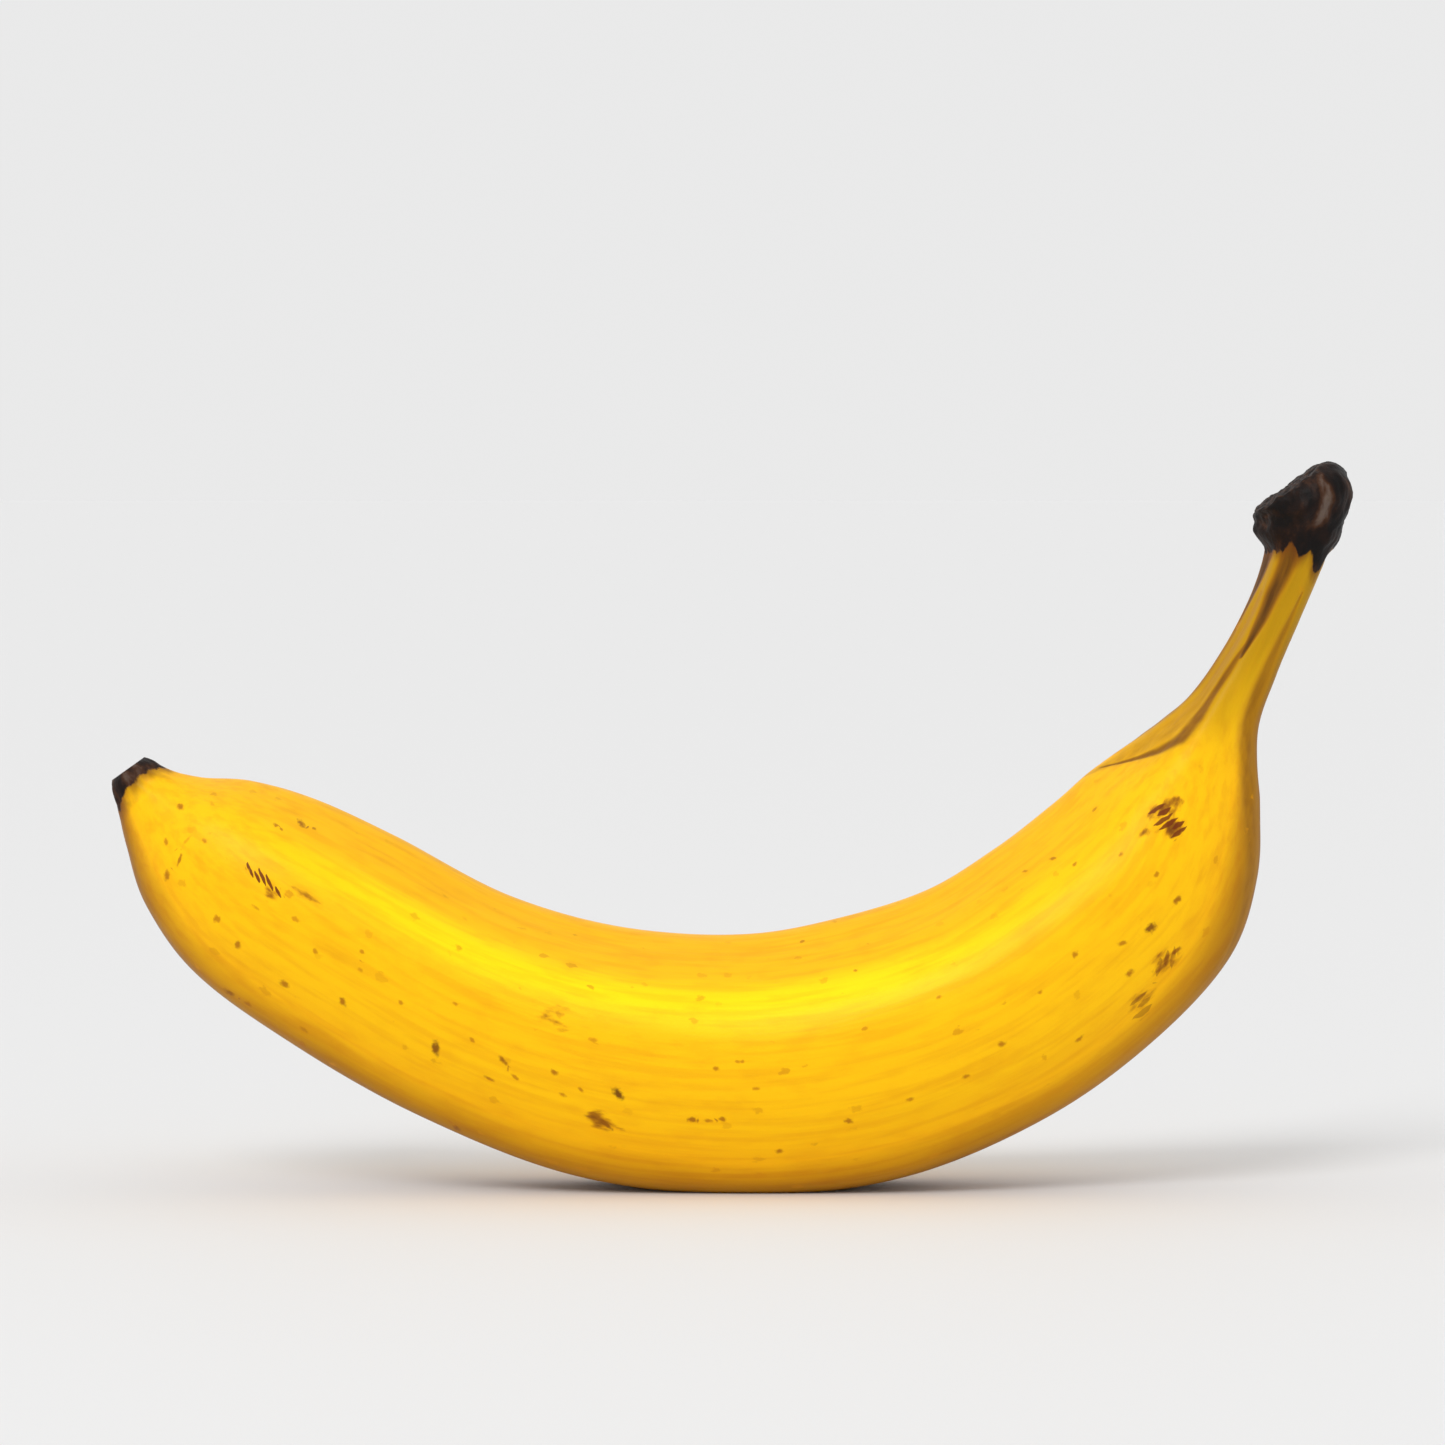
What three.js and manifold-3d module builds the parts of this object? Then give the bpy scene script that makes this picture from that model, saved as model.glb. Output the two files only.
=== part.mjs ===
// One ripe banana, resting on the outside of its curve with both ends up. It grew as one piece, so it is one solid:
// the blossom end, the five-sided body, the neck, the stalk, and the crown where it was cut from its hand.
// Millimetres, +Z up. The curve lies in the XZ plane, and the stalk is at +X.

import * as THREE from "three";
import { mergeVertices } from "three/addons/utils/BufferGeometryUtils.js";
import Module from "manifold-3d";

// Sections along the fruit, from the blossom end to the crown. x and z are the middle of the section, and heading is
// the direction of growth there, in degrees up from +X. Height is its half height in the plane of the curve, and
// depth its half depth across that plane. Ridges says how strongly the five long ridges show, from 0 to 1.
const SECTIONS = [
  { x: -84.4, z: 58.8, heading: -54.5, height: 3.3, depth: 3.3, ridges: 0 }, // blossom end's dry face
  { x: -82.5, z: 56.1, heading: -51, height: 4.4, depth: 4.2, ridges: 0.3 },
  { x: -79.5, z: 52.6, heading: -46, height: 7.1, depth: 6.8, ridges: 0.5 },
  { x: -74.6, z: 48.1, heading: -39.5, height: 11.4, depth: 10.8, ridges: 0.7 },
  { x: -66.8, z: 42.1, heading: -34, height: 14.6, depth: 14.0, ridges: 0.9 },
  { x: -55.1, z: 34.9, heading: -30, height: 15.9, depth: 15.5, ridges: 1 },
  { x: -37.7, z: 25.2, heading: -23.5, height: 16.5, depth: 16.3, ridges: 1 },
  { x: -18.2, z: 18.6, heading: -11.5, height: 17.5, depth: 17.1, ridges: 1 },
  { x: 2.0, z: 16.8, heading: 1.5, height: 18.1, depth: 17.5, ridges: 1 }, // lowest section
  { x: 19.7, z: 19.1, heading: 15, height: 18.5, depth: 17.8, ridges: 1 },
  { x: 36.0, z: 25.2, heading: 28, height: 17.8, depth: 17.4, ridges: 1 },
  { x: 48.4, z: 33.6, heading: 38.5, height: 17.3, depth: 16.8, ridges: 1 },
  { x: 57.8, z: 42.7, heading: 49.5, height: 16.2, depth: 15.4, ridges: 1 },
  { x: 62.6, z: 50.9, heading: 57, height: 13.6, depth: 13.4, ridges: 1 }, // shoulder
  { x: 66.0, z: 58.7, heading: 61, height: 9.4, depth: 9.9, ridges: 1 },
  { x: 69.1, z: 66.4, heading: 62.5, height: 5.3, depth: 6.6, ridges: 1 }, // neck
  { x: 72.7, z: 73.7, heading: 64, height: 4.1, depth: 5.1, ridges: 0.9 },
  { x: 76.0, z: 80.8, heading: 66.5, height: 3.8, depth: 4.7, ridges: 0.8 }, // stalk
  { x: 78.3, z: 86.8, heading: 70, height: 4.0, depth: 4.7, ridges: 0.6 },
  { x: 79.3, z: 91.0, heading: 76, height: 4.6, depth: 5.2, ridges: 0.3 },
  { x: 79.8, z: 94.0, heading: 86, height: 6.0, depth: 6.4, ridges: 0 }, // crown
  { x: 80.0, z: 96.4, heading: 97, height: 7.0, depth: 7.3, ridges: 0 },
  { x: 79.4, z: 98.9, heading: 107, height: 6.1, depth: 6.8, ridges: 0 },
  { x: 78.5, z: 101.2, heading: 113, height: 4.0, depth: 4.6, ridges: 0 },
];

// The five ridges: one on the inside of the curve, two on each side, and a flat face between the lowest two.
const RIDGE_COUNT = 5;
const RIDGE_RISE = 0.04; // share of the section's size
const RIDGE_CREST = 0.005; // second harmonic, which narrows the ridges and flattens the faces between them
const RIDGE_SHIFT = 0.12; // radians that the upper side ridges move towards the inside, and the lower ones outwards

// The knife's cut through the crown, and the level below which the fruit's own weight has pressed it flat.
const CROWN_CUT = { x: 78.9, z: 98.9, tilt: THREE.MathUtils.degToRad(35), size: 30 };
const REST_CUT = { x: 0, z: 0, tilt: Math.PI, size: 200 };

const AROUND = 36;
const RINGS_PER_SECTION = 3;

const PEEL = new THREE.MeshStandardMaterial({ color: 0xf7bf08, roughness: 0.48, metalness: 0 });

const wasm = await Module();
wasm.setup();

// How far the skin stands from the middle at an angle from the inside of the curve, as a share of the section's size.
function ridgeShare(angle, strength) {
  const turned = angle + RIDGE_SHIFT * Math.sin(2 * angle);
  const rise = RIDGE_RISE * Math.cos(RIDGE_COUNT * turned);
  const crest = RIDGE_CREST * Math.cos(2 * RIDGE_COUNT * turned);
  return 1 + strength * (rise + crest);
}

// A smooth curve through every value of the sections, which reaches section number n at parameter n.
function curveThroughSections() {
  const values = SECTIONS.flatMap((s) => [s.x, s.z, s.heading, s.height, s.depth, s.ridges]);
  return new THREE.CubicInterpolant([...SECTIONS.keys()], values, values.length / SECTIONS.length);
}

// A closed cylinder of unit radius, with each of its rings moved to its place along the fruit.
function fruitGeometry() {
  const last = SECTIONS.length - 1;
  const curve = curveThroughSections();
  const geometry = new THREE.CylinderGeometry(1, 1, 1, AROUND, RINGS_PER_SECTION * last);
  const points = geometry.getAttribute("position");
  for (let i = 0; i < points.count; i++) {
    const [x, z, heading, height, depth, ridges] = curve.evaluate(last * (points.getY(i) + 0.5));
    const tilt = THREE.MathUtils.degToRad(heading);
    const angle = Math.atan2(points.getX(i), points.getZ(i));
    const spread = Math.hypot(points.getX(i), points.getZ(i)); // 0 in the middle of an end, 1 on the skin
    const reach = spread * ridgeShare(angle, ridges);
    const inward = reach * height * Math.cos(angle);
    const across = reach * depth * Math.sin(angle);
    points.setXYZ(i, x - inward * Math.sin(tilt), -across, z + inward * Math.cos(tilt));
  }
  return geometry;
}

function solidFrom(geometry, matrix = new THREE.Matrix4()) {
  const bare = new THREE.BufferGeometry();
  bare.setAttribute("position", geometry.getAttribute("position").clone());
  bare.setIndex(geometry.getIndex());
  const merged = mergeVertices(bare.applyMatrix4(matrix), 1e-4);
  return new wasm.Manifold(
    new wasm.Mesh({
      numProp: 3,
      vertProperties: new Float32Array(merged.getAttribute("position").array),
      triVerts: new Uint32Array(merged.getIndex().array),
    }),
  );
}

function geometryFrom(solid) {
  const mesh = solid.getMesh();
  const geometry = new THREE.BufferGeometry();
  geometry.setAttribute("position", new THREE.BufferAttribute(mesh.vertProperties, mesh.numProp));
  geometry.setIndex(new THREE.BufferAttribute(mesh.triVerts, 1));
  geometry.computeVertexNormals();
  return geometry;
}

// A block that stands on the cut's plane, on the side that is cut away.
function cutter({ x, z, tilt, size }) {
  const matrix = new THREE.Matrix4().makeTranslation(x, 0, z);
  matrix.multiply(new THREE.Matrix4().makeRotationY(-tilt));
  matrix.multiply(new THREE.Matrix4().makeTranslation(0, 0, size / 2));
  return solidFrom(new THREE.BoxGeometry(size, size, size), matrix);
}

const whole = solidFrom(fruitGeometry());
const trimmed = whole.subtract(cutter(CROWN_CUT)).subtract(cutter(REST_CUT));

const banana = new THREE.Mesh(geometryFrom(trimmed), PEEL);
banana.name = "banana";

const fruit = new THREE.Group();
fruit.add(banana);

export default fruit;
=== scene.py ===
"""One ripe banana that rests on the outside of its curve, on a pale floor in soft studio light.

The fruit is one fine mesh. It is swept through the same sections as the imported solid, then given its
swellings, creases, torn crown and dents. Most sizes are in millimetres along, around and across the fruit:
"along" is the distance up its middle line from the blossom end, and "around" is the angle in degrees from
the inside of its curve, positive towards the front.
"""

import math
import random

import bpy
import numpy as np
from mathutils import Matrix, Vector, noise


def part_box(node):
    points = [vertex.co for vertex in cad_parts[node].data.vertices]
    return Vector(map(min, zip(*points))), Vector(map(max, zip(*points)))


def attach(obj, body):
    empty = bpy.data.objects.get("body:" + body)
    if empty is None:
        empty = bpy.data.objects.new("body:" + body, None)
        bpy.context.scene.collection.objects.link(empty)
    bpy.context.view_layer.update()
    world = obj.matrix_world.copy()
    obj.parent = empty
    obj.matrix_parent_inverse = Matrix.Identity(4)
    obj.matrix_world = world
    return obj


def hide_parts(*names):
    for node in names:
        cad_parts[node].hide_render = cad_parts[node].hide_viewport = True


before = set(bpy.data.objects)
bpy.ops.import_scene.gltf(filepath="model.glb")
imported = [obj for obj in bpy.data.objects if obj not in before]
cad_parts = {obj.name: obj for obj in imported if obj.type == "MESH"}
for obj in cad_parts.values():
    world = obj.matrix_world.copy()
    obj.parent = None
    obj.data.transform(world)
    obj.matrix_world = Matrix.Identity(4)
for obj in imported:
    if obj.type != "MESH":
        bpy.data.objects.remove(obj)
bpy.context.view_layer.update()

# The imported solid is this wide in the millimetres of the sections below, which gives the scene's unit.
SOLID_WIDTH = 174.0
LOW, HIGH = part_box("banana")
UNIT = (HIGH.x - LOW.x) / SOLID_WIDTH

# x, z, heading in degrees up from +X, half height, half depth, and how strongly the ridges show.
SECTIONS = np.array([
    (-84.4, 58.8, -54.5, 3.3, 3.3, 0.0),  # blossom end's dry face
    (-82.5, 56.1, -51.0, 4.4, 4.2, 0.3),
    (-79.5, 52.6, -46.0, 7.1, 6.8, 0.5),
    (-74.6, 48.1, -39.5, 11.4, 10.8, 0.7),
    (-66.8, 42.1, -34.0, 14.6, 14.0, 0.9),
    (-55.1, 34.9, -30.0, 15.9, 15.5, 1.0),
    (-37.7, 25.2, -23.5, 16.5, 16.3, 1.0),
    (-18.2, 18.6, -11.5, 17.5, 17.1, 1.0),
    (2.0, 16.8, 1.5, 18.1, 17.5, 1.0),  # lowest section
    (19.7, 19.1, 15.0, 18.5, 17.8, 1.0),
    (36.0, 25.2, 28.0, 17.8, 17.4, 1.0),
    (48.4, 33.6, 38.5, 17.3, 16.8, 1.0),
    (57.8, 42.7, 49.5, 16.2, 15.4, 1.0),
    (62.6, 50.9, 57.0, 13.6, 13.4, 1.0),  # shoulder
    (66.0, 58.7, 61.0, 9.4, 9.9, 1.0),
    (69.1, 66.4, 62.5, 5.3, 6.6, 1.0),  # neck
    (72.7, 73.7, 64.0, 4.1, 5.1, 0.9),
    (76.0, 80.8, 66.5, 3.8, 4.7, 0.8),  # stalk
    (78.3, 86.8, 70.0, 4.0, 4.7, 0.6),
    (79.3, 91.0, 76.0, 4.6, 5.2, 0.3),
    (79.8, 94.0, 86.0, 6.0, 6.4, 0.0),  # crown
    (80.0, 96.4, 97.0, 7.0, 7.3, 0.0),
    (79.4, 98.9, 107.0, 6.1, 6.8, 0.0),
    (78.5, 101.2, 113.0, 4.0, 4.6, 0.0),
])
RIDGE_COUNT = 5
RIDGE_RISE = 0.04  # share of the fruit's radius by which a ridge stands out
RIDGE_CREST = 0.005  # share of it that narrows the ridges and flattens the sides between them
RIDGE_SHIFT = 0.12  # radians by which the ridges are set unevenly

# The knife's cut through the crown: a point in its plane, and the plane's tilt in degrees.
CUT_POINT = np.array((78.9, 0.0, 98.9))
CUT_TILT = 35.0
CUT_ROUNDING = 0.6
CUT_EDGE = (-0.4, 0.7)  # where the torn face starts and is full, by how far the skin stood above the plane
REST_ROUNDING = 0.15
FAR_BELOW = 1000  # roundings below a plane, where pressing flat leaves the skin alone
CROWN_SOFTENING = 4  # rounds
SOFTENING_PULL = 0.8  # share of the way to its neighbours' middle that a point moves in one round

# Depths and heights on the skin. The pit's slope is the share of the blossom end's radius that it takes.
NECK_RIDGE_RISE = 0.10
CREASE_DEPTH = 0.32
BRUISE_DEPTH = 0.16
TIP_CHAMFER = 0.6
TIP_CHAMFER_LENGTH = 1.5
PIT_DEPTH = 0.9
PIT_SLOPE = 0.6
HUSK_RISE = 0.35  # how far the crown's dry husk stands above the peel
HUSK_EDGE = (-0.3, 0.8)

# Layers of noise that raise and lower the skin: height, size of the lumps, and their stretch along it.
SWELLS = {
    "body": [(0.30, 17.0, 2.4), (0.10, 6.0, 3.5), (0.035, 1.9, 9.0)],
    "neck": [(0.18, 1.9, 11.0)],
    "blossom end": [(0.35, 1.6, 1.4)],
    "pit": [(0.35, 0.9, 1.0)],
    "crown": [(0.4, 3.0, 1.0)],
    "crown's side": [(0.28, 2.0, 1.0), (0.16, 0.8, 1.0)],
    "crown's cut": [(0.5, 2.6, 1.0), (0.25, 0.9, 1.0)],
    "dry edge": [(0.9, 1.7, 1.4)],
}

# The mesh: distance between rings, points around each ring, rings across each end, and the samples for each
# section that measure the middle line.
RING_GAP = 0.48
AROUND = 190
END_RINGS = 12
SECTION_SAMPLES = 40

# Where each part of the fruit fades in, or the blossom end and the stalk fade out, in millimetres along it.
CROWN_START = 213.0
TIP_FADE = (2.0, 7.0)
BODY_FADE = (4.0, 22.0)
NECK_FADE = (166.0, 186.0)
STALK_END_FADE = (CROWN_START, CROWN_START + 3)
CROWN_FADE = (CROWN_START - 2, CROWN_START + 4)
SOFT_CROWN_FADE = (CROWN_START + 0.5, CROWN_START + 3)

# How far along the fruit the dry, dark ends reach, at angles around it.
TIP_EDGE = [
    (-170, 3.4), (-120, 2.4), (-60, 3.4), (0, 3.2), (30, 2.6), (60, 1.9), (99, 2.2), (118, 2.3), (136, 3.2),
    (150, 3.9),
]
CROWN_EDGE = [
    (-150, 213.0), (-105, 215.4), (-70, 213.2), (-35, 214.2), (0, 212.6), (27, 212.8), (47, 213.1),
    (63, 213.7), (76, 214.9), (88, 213.5), (98, 212.9), (114, 214.3), (136, 211.8), (150, 212.2),
    (164, 215.6),
]
DRY_LIMIT = 12.0  # the most that the field of the dry ends counts, either way

# Dark spots: along, around, length, width, tilt of the length from the fruit's own, and darkness.
SPOTS = [
    (9, 68, 1.0, 0.8, 20, 0.5),
    (14, 118, 1.3, 0.8, 70, 0.5),
    (14, 102, 1.6, 0.4, 70, 0.5),
    (15, 80, 0.8, 0.5, 10, 0.25),
    (13, 87, 1.4, 0.4, 90, 0.15),
    (25, 33, 1.7, 1.0, 40, 0.65),
    (27, 32, 0.8, 0.6, 0, 0.45),
    (22, 45, 1.0, 0.7, 30, 0.45),
    (23, 46, 0.8, 0.4, 40, 0.35),
    (23, 112, 0.9, 0.5, 80, 0.3),
    (27, 117, 1.2, 0.9, 60, 0.5),
    (35, 121, 1.4, 1.0, 20, 0.5),
    (43, 112, 1.3, 0.9, 30, 0.55),
    (42, 84, 0.9, 0.5, 0, 0.25),
    (43, 92, 0.8, 0.5, 20, 0.2),
    (50, 96, 0.9, 0.5, 20, 0.25),
    (57, 109, 2.3, 1.0, 66, 0.8),
    (57, 84, 0.8, 0.5, 0, 0.25),
    (61, 97, 0.9, 0.5, 20, 0.3),
    (66, 101, 1.4, 0.7, 30, 0.65),
    (65, 113, 1.6, 0.5, 10, 0.45),
    (73, 98, 1.0, 0.7, 10, 0.5),
    (77, 103, 0.9, 0.5, 40, 0.3),
    (82, 101, 2.1, 1.1, 46, 0.9),
    (81, 118, 2.6, 0.5, 40, 0.7),
    (92, 110, 1.3, 0.8, 10, 0.6),
    (96, 109, 0.9, 0.7, 0, 0.5),
    (95, 85, 0.9, 0.6, 0, 0.35),
    (98, 82, 0.7, 0.4, 0, 0.2),
    (103, 126, 1.2, 0.7, 0, 0.5),
    (110, 16, 1.1, 0.6, 0, 0.35),
    (112, 114, 1.2, 0.8, 20, 0.5),
    (118, 46, 0.8, 0.5, 0, 0.25),
    (117, 75, 0.8, 0.5, 0, 0.2),
    (129, 72, 0.9, 0.5, 0, 0.25),
    (128, 110, 1.1, 0.6, 0, 0.4),
    (134, 103, 1.2, 0.7, 10, 0.45),
    (142, 91, 0.8, 0.5, 0, 0.25),
    (143, 122, 1.1, 0.7, 0, 0.4),
    (149, 87, 1.0, 0.7, 0, 0.4),
    (151, 35, 1.0, 0.6, 30, 0.3),
    (153, 112, 1.2, 0.8, 0, 0.5),
    (156, 41, 1.2, 0.7, 40, 0.45),
    (158, 54, 0.9, 0.5, 0, 0.3),
    (159, 103, 1.6, 1.2, 40, 0.8),
    (159, 122, 1.3, 0.7, 20, 0.6),
    (164, 105, 1.3, 0.8, 20, 0.6),
    (164, 68, 1.0, 0.5, 0, 0.35),
    (165, 88, 0.9, 0.6, 0, 0.35),
    (167, 35, 1.0, 0.6, 0, 0.3),
    (11, 101, 1.0, 0.6, 30, 0.3),
    (22.6, 113, 1.1, 0.6, 60, 0.35),
    (26.4, 93, 1.4, 0.5, 10, 0.2),
    (31.8, 87, 1.2, 0.6, 0, 0.2),
    (36.4, 96, 1.0, 0.6, 30, 0.25),
    (40.3, 139, 1.2, 0.6, 0, 0.4),
    (68.1, 107, 1.3, 0.5, 20, 0.3),
    (74.8, 108, 1.0, 0.5, 10, 0.3),
    (77.2, 79, 1.4, 0.6, 0, 0.2),
    (98.7, 82, 0.9, 0.5, 0, 0.25),
    (100.5, 94, 0.9, 0.5, 0, 0.25),
    (94.1, 110, 1.1, 0.6, 0, 0.35),
    (120.3, 111, 1.1, 0.6, 0, 0.3),
    (155, 98, 1.2, 0.7, 30, 0.4),
]
SPOT_MARGIN = 0.6  # millimetres beyond a spot's end where its field stops

# Spots scattered where that list doesn't reach. Each number of a spot is drawn between two values.
SCATTERED_SPOTS = 46
SPOT_SEED = 7
SCATTERED_ALONG = (8, 176)
BACK_ANGLES = (-165, -5)
UNDER_ANGLES = (140, 185)
UNDER_EVERY = 4  # one spot in so many is on the underside
SCATTERED_SHAPES = [(0.7, 1.7), (0.4, 1.0), (-40, 80), (0.2, 0.8)]  # length, width, tilt and darkness

# Creases up the neck and stalk, sunk into the skin, with painted shade in them and on their folds: a
# darkness, and a route of along, around and half width.
SHADED_CREASES = [
    (0.66, [(173, 6, 0.3), (177, 24, 1.2), (180, 40, 2.0), (183, 52, 2.4), (187, 53, 2.0), (191, 52, 1.4),
            (195, 56, 1.2), (200, 63, 0.4)]),
    (0.95, [(197, 64, 0.4), (203, 67, 1.5), (207, 67, 2.1), (213, 78, 2.7), (217, 82, 3.0)]),
    (0.5, [(168, -6, 0.6), (176, -4, 1.8), (184, -2, 2.4), (192, 2, 2.0), (204, 6, 1.2)]),
    (0.32, [(170, 2, 0.6), (178, 16, 4.0), (184, 28, 4.6), (190, 30, 3.6), (198, 34, 2.6), (207, 38, 1.4)]),
    (0.5, [(160, 152, 0.5), (172, 146, 3.0), (182, 138, 3.6), (190, 130, 3.0), (196, 126, 2.2),
           (202, 126, 1.4), (209, 130, 0.3)]),
    (1.0, [(198, -4, 0.3), (206, 3, 1.6), (212, 12, 2.8), (217, 20, 3.4)]),
    (0.7, [(170, -12, 0.2), (177, -34, 1.2), (184, -56, 1.6), (192, -62, 1.1), (198, -66, 0.3)]),
    (0.6, [(180, -112, 0.3), (188, -124, 1.4), (198, -134, 1.1), (207, -138, 0.3)]),
    (0.9, [(197, -84, 0.3), (205, -88, 1.3), (216, -98, 2.2)]),
    (0.6, [(183, 178, 0.3), (192, 184, 1.5), (206, 188, 0.4)]),
]
CREASE_FULL = 0.9  # share of the way from a crease's side to its middle where it is fully dark
NO_WIDTH = 0.001  # a crease's half width beyond the ends of its route

# Lumps and hollows of the crown: along, around, length, width, height.
LUMPS = [
    (215.2, 2, 3.6, 8.0, 1.7),
    (217.9, 0, 2.4, 7.0, 0.9),
    (216.5, 58, 3.4, 5.0, 0.8),
    (216.8, 104, 3.0, 4.0, -0.7),
    (217.4, 140, 4.0, 5.0, 0.6),
    (215.8, 182, 2.4, 7.0, 0.5),
    (216.2, -50, 3.6, 5.0, 0.9),
    (217.4, -92, 3.0, 3.6, -0.8),
    (216.6, -130, 3.8, 5.0, 0.7),
    (222.0, 140, 5.0, 9.0, 0.7),
    (220.0, 95, 4.0, 5.0, 0.9),
    (219.5, -68, 4.0, 5.0, 1.1),
    (220.0, -110, 4.0, 3.4, -0.8),
    (221.0, -160, 4.0, 5.0, 0.6),
    (220.5, 178, 5.0, 8.0, -0.9),
]

# Soft brown bruises and a painted highlight on the crown: along, around, length, width, tilt, strength.
BRUISES_AND_CROWN_HIGHLIGHT = [
    (32, 73, 6.0, 2.2, 0, 0.35),
    (27, 82, 3.4, 2.6, 30, 0.45),
    (71, 74, 8.0, 4.0, 5, 0.3),
    (81, 118, 5.5, 3.2, 35, 0.5),
    (83, 128, 4.0, 2.0, 40, 0.3),
    (152, 129, 6.5, 3.4, -4, 0.5),
    (157, 122, 5.5, 4.2, -40, 0.45),
    (173.5, 76, 5.6, 3.8, 25, 0.6),
    (171.5, 82, 4.4, 3.0, 25, 0.75),
    (172, 70, 5.0, 2.8, 25, 0.45),
    (168.8, 72, 3.0, 1.4, 25, 0.5),
    (60, -95, 9.0, 5.0, 10, 0.5),
    (118, -118, 7.0, 4.0, -20, 0.45),
    (146, -70, 6.0, 3.0, 15, 0.35),
    (30, -60, 5.0, 3.0, 0, 0.3),
    (98, 176, 16.0, 9.0, 0, 0.5),  # where it rests
    # A pale grey streak painted on the crown's husk as a highlight, sunk and greyed like a bruise.
    (220.7, 113, 5.8, 2.0, 8, 1.0),  # pale streak on the crown
    (1.2, 93, 1.6, 4.0, 0, 0.5),  # pale patch on the blossom end
]

# How many times its listed size a lump or a bruise reaches, and how sharply it fades on the way.
LUMP_SPREAD = 1.4
LUMP_FADE = 2
BRUISE_SPREAD = 1.5
BRUISE_FADE = 1.5

# Rows of short scratches: along, around, their number, their gap, the row's tilt, their length, their tilt
# and their darkness.
SCRATCHES = [
    (25.0, 78.5, 5, 1.15, 2, 2.6, 36, 1.0),
    (172.2, 79.5, 6, 0.85, 105, 3.4, 26, 0.95),
    (157.4, 121.5, 3, 1.15, 12, 3.0, -42, 0.5),
    (151.6, 129.5, 3, 1.1, 100, 3.0, 6, 0.5),
    (60, -93, 5, 0.9, 10, 2.0, 40, 0.8),
    (128, -60, 4, 0.9, 100, 2.4, 10, 0.6),
]
SCRATCH_REACH = 1.5  # half lengths from a scratch's middle where its field stops

# Noise on the peel: size in millimetres, stretch along the fruit, and detail.
TEXTURES = {
    "shading": (9.0, 3.0, 2.0),
    "streaks": (1.1, 16.0, 3.0),
    "mottle": (2.4, 2.2, 4.0),
    "stalk": (1.2, 10.0, 3.0),
    "stalk's edge": (5.0, 3.0, 2.0),
    "creases": (1.0, 8.0, 3.0),
    "flecks' edges": (0.6, 1.5, 3.0),
    "bruises": (1.2, 2.6, 4.0),
    "scratches": (1.3, 1.0, 2.0),
    "spots' edges": (0.6, 1.0, 4.0),
    "dry edge": (0.8, 1.8, 3.0),
    "stain's edge": (1.4, 3.0, 2.0),
    "husk": (1.8, 1.8, 4.0),
    "cut": (0.7, 1.0, 5.0),
    "wax": (4.0, 3.0, 2.0),
    "dry roughness": (1.2, 2.0, 2.0),
    "fibres": (0.55, 14.0, 3.0),
    "pores": (0.45, 1.4, 2.0),
    "husk's wrinkles": (1.1, 1.5, 5.0),
}

# How far a texture swings from its lowest value to its highest, where it makes an edge or a line ragged.
RAGGED = {
    "shading": 0.16,
    "flecks' edges": 0.45,
    "bruises": 1.4,
    "scratches": 0.6,
    "spots' edges": 1.9,
    "dry edge": 1.6,
}
STAIN_RAGGED = 2.4  # millimetres
STALK_RAGGED = 10.0
STALK_LEAN = 8.0  # millimetres by which the stalk's colour starts lower inside the curve than at its sides

# Where the peel's colours start to change and have changed, in millimetres along the fruit.
TIP_SHADE = (34.0, 4.0)
NECK_SHADE = (150.0, 178.0)
HIGHLIGHT_START = (4.0, 55.0)
HIGHLIGHT_END = (176.0, 112.0)
STALK_COLOURED = (184.0, 206.0)
PALER_TIP = (20.0, 8.0)

# How far the painted shade of the tip and neck moves the underside's painted shade up the sides, as a
# cosine.
TIP_SHADE_RISE = 0.12
NECK_SHADE_RISE = 0.16

# The painted lemon highlight's two sides, as the cosine of the angle around the fruit, which is 1 inside the
# curve.
HIGHLIGHT_OUTER_SIDE = (0.26, 0.52)
HIGHLIGHT_INNER_SIDE = (0.80, 0.54)

# How strong each layer of colour is, from 0 to 1.
STREAK_STRENGTH = 0.6
MOTTLE_STRENGTH = 0.4
STALK_STRENGTH = 0.9
SPOT_STRENGTH = 0.92
SCRATCH_STRENGTH = 0.95
STAIN_STRENGTH = 0.8

# The edges of the layers: where each starts and where it is full, in the numbers of its own field.
STREAK_EDGE = (0.40, 0.70)
MOTTLE_EDGE = (0.45, 0.75)
CREASE_SHADE_EDGE = (0.0, 0.6)
FLECK_EDGE = (-0.03, 0.06)
BRUISE_EDGE = (0.22, 0.6)
BRUISE_OUTSKIRTS = (0.02, 0.2)
SPOT_EDGE = (1.45, 0.35)
FAINTEST_SPOTS = (0.0, 0.25)
SCRATCH_EDGE = (-0.06, 0.06)
DRY_EDGE = (-0.15, 0.35)
STAIN_EDGE = (-1.2, 1.8)

# Flecks: their cells, the random numbers that give none and the largest, and the range of their strengths.
FLECK_CELLS = (3.0, 1.4)  # size in millimetres, and stretch along the fruit
FLECK_RADIUS = 0.2  # of the largest flecks, in cells
FLECK_CHANCE = (0.2, 1.0)
FLECK_STRENGTHS = (0.2, 0.7)

# Scratches: half width in gaps of the row, the range of their places in half lengths, and of their lengths.
SCRATCH_HALF_WIDTH = 0.38
SCRATCH_SHIFT = 0.7
SCRATCH_LENGTHS = (0.65, 1.1)

# How much the painted shade of the creases varies, and how much paler the husk is near the tip and in its
# bruises, which include the painted highlight on the crown.
CREASE_SHADE_UNEVENNESS = (0.65, 1.35)
TIP_PALENESS = 0.11
BRUISE_AND_HIGHLIGHT_PALENESS = 0.45

# Roughness of the wax, and how much bruises and the dry ends add to it.
WAX_ROUGHNESS = (0.36, 0.52)
BRUISE_DULLNESS = 0.2
DRY_DULLNESS = 0.2
FLOOR_ROUGHNESS = 0.7

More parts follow.
